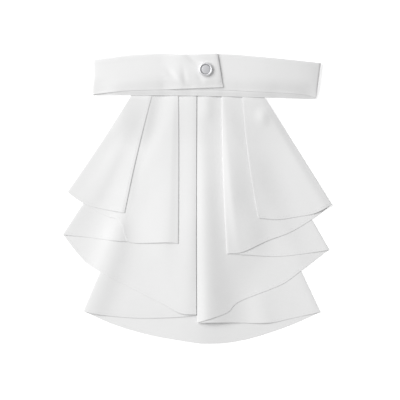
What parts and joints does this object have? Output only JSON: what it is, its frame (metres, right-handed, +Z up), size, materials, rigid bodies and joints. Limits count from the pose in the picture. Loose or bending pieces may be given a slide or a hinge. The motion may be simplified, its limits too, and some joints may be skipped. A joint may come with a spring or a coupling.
{
  "type": "jabot collar",
  "caption": "White cloth jabot collar laid flat: a lapped neckband with a button over a pleated cascade ruffle in stepped tiers.",
  "frame": {"origin": "centre of the collar's bounding rectangle on the surface it lies on, level with its flat underside", "axes": "+X to the right as seen from above with the neckband at the top, +Y from the hem of the ruffle to the neckband, +Z up from the surface"},
  "size_m": [0.2217, 0.2381, 0.0134],
  "materials": {
    "ruffle_cloth": "matte",
    "band_cloth": "matte",
    "button_metal": "satin",
    "button_pearl": "gloss"
  },
  "bodies": {
    "root": {"neckband": "band_cloth", "jabot_ruffle": "ruffle_cloth", "button_rim": "button_metal", "button_face": "button_pearl"}
  },
  "joints": []
}
